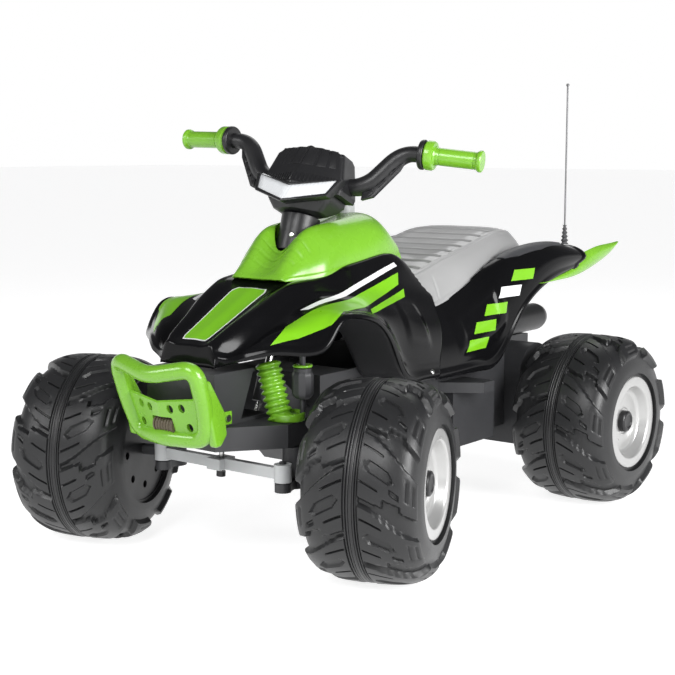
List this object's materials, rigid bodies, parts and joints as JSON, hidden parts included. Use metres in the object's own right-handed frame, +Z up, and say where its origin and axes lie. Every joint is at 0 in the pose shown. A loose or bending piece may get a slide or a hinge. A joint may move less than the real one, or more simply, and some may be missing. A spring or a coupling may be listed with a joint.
{
  "type": "kids quad bike",
  "caption": "Child's ride-on quad bike with chunky lugged wheels, steering handlebar, bumper, saddle, tail fins and an aerial, in black and lime plastic.",
  "frame": {"origin": "on the floor under the middle of the bounding box", "axes": "+Z up, -Y forward, +X to the rider's left; the steering rests turned to the left, as pictured"},
  "size_m": [0.8394, 1.2552, 0.8477],
  "materials": {
    "tyre_plastic": "satin moulded black",
    "rim_silver": "silver",
    "wheel_black": "satin black",
    "body_black": "gloss black",
    "lime": "gloss lime green",
    "saddle_grey": "satin silver grey",
    "frame_dark": "matt dark grey",
    "dash_black": "satin black",
    "lamp_white": "clear white",
    "rod_grey": "pale grey",
    "steel": "zinc plated",
    "winch_brown": "matt brown",
    "battery_case": "matt"
  },
  "bodies": {
    "chassis": {"aerial_foot": "dash_black", "aerial_whip": "rod_grey", "battery": "battery_case", "bumper_screws": "steel", "chassis_tub": "frame_dark", "column_bush": "frame_dark", "filler_cap": "rod_grey", "front_body": "body_black", "front_bumper": "lime", "front_frame": "frame_dark", "left_damper": "frame_dark", "left_footboard": "frame_dark", "left_gearbox": "frame_dark", "left_motor": "steel", "left_muffler": "frame_dark", "left_shock": "lime", "left_tail_fin": "lime", "pedal_pin": "steel", "rear_axle": "steel", "rear_body": "body_black", "right_damper": "frame_dark", "right_footboard": "frame_dark", "right_gearbox": "frame_dark", "right_motor": "steel", "right_muffler": "frame_dark", "right_shock": "lime", "right_tail_fin": "lime", "seat": "saddle_grey", "tank_cowl": "lime", "winch_drum": "winch_brown"},
    "steering": {"steering_column": "steel", "crank_cap": "dash_black", "column_sleeve": "dash_black", "dash_bowl": "dash_black", "light_bar": "lamp_white", "dash_cover": "dash_black", "handlebar": "dash_black", "left_grip": "lime", "right_grip": "lime"},
    "left_knuckle_body": {"left_knuckle": "frame_dark"},
    "right_knuckle_body": {"right_knuckle": "frame_dark"},
    "tie_rod_body": {"tie_rod": "rod_grey"},
    "pedal": {"accelerator_pedal": "dash_black"},
    "front_left_wheel": {"front_left_tyre": "tyre_plastic", "front_left_rim": "rim_silver", "front_left_inner_disc": "wheel_black", "front_left_hub_cap": "wheel_black"},
    "front_right_wheel": {"front_right_tyre": "tyre_plastic", "front_right_rim": "rim_silver", "front_right_inner_disc": "wheel_black", "front_right_hub_cap": "wheel_black"},
    "rear_left_wheel": {"rear_left_tyre": "tyre_plastic", "rear_left_rim": "rim_silver", "rear_left_inner_disc": "wheel_black", "rear_left_hub_cap": "wheel_black"},
    "rear_right_wheel": {"rear_right_tyre": "tyre_plastic", "rear_right_rim": "rim_silver", "rear_right_inner_disc": "wheel_black", "rear_right_hub_cap": "wheel_black"}
  },
  "joints": [
    {"name": "steer", "type": "hinge", "parent": "chassis", "child": "steering", "pos_m": [0, -0.2174, 0.57], "axis": [0, 0.342, 0.9397], "range_deg": [-27.6, 5.4]},
    {"name": "left_kingpin", "type": "hinge", "parent": "chassis", "child": "left_knuckle_body", "pos_m": [0.139, -0.4024, 0.17], "axis": [0, 0, 1], "range_deg": [-47, 9.3]},
    {"name": "right_kingpin", "type": "hinge", "parent": "chassis", "child": "right_knuckle_body", "pos_m": [-0.139, -0.4024, 0.17], "axis": [0, 0, 1], "range_deg": [-47, 9.3]},
    {"name": "tie_rod_pivot", "type": "hinge", "parent": "left_knuckle_body", "child": "tie_rod_body", "pos_m": [0.15549, -0.45066, 0.18], "axis": [0, 0, 1], "range_deg": [-9.3, 47]},
    {"name": "front_left_spin", "type": "hinge", "parent": "left_knuckle_body", "child": "front_left_wheel", "pos_m": [0.28567, -0.35227, 0.17], "axis": [0.9463, 0.3234, 0], "continuous": true},
    {"name": "rear_left_spin", "type": "hinge", "parent": "chassis", "child": "rear_left_wheel", "pos_m": [0.3, 0.3526, 0.17], "axis": [1, 0, 0], "continuous": true},
    {"name": "front_right_spin", "type": "hinge", "parent": "right_knuckle_body", "child": "front_right_wheel", "pos_m": [-0.28567, -0.45253, 0.17], "axis": [0.9463, 0.3234, 0], "continuous": true},
    {"name": "rear_right_spin", "type": "hinge", "parent": "chassis", "child": "rear_right_wheel", "pos_m": [-0.3, 0.3526, 0.17], "axis": [1, 0, 0], "continuous": true},
    {"name": "pedal_hinge", "type": "hinge", "parent": "chassis", "child": "pedal", "pos_m": [-0.175, 0.0956, 0.279], "axis": [1, 0, 0], "range_deg": [0, 8], "stiffness_Nm_per_rad": 1.5, "springref_deg": -8.59}
  ],
  "couplings": [
    {"joint": "left_kingpin", "follows": "steer", "ratio": 1.7},
    {"joint": "right_kingpin", "follows": "steer", "ratio": 1.7},
    {"joint": "tie_rod_pivot", "follows": "steer", "ratio": -1.7}
  ]
}
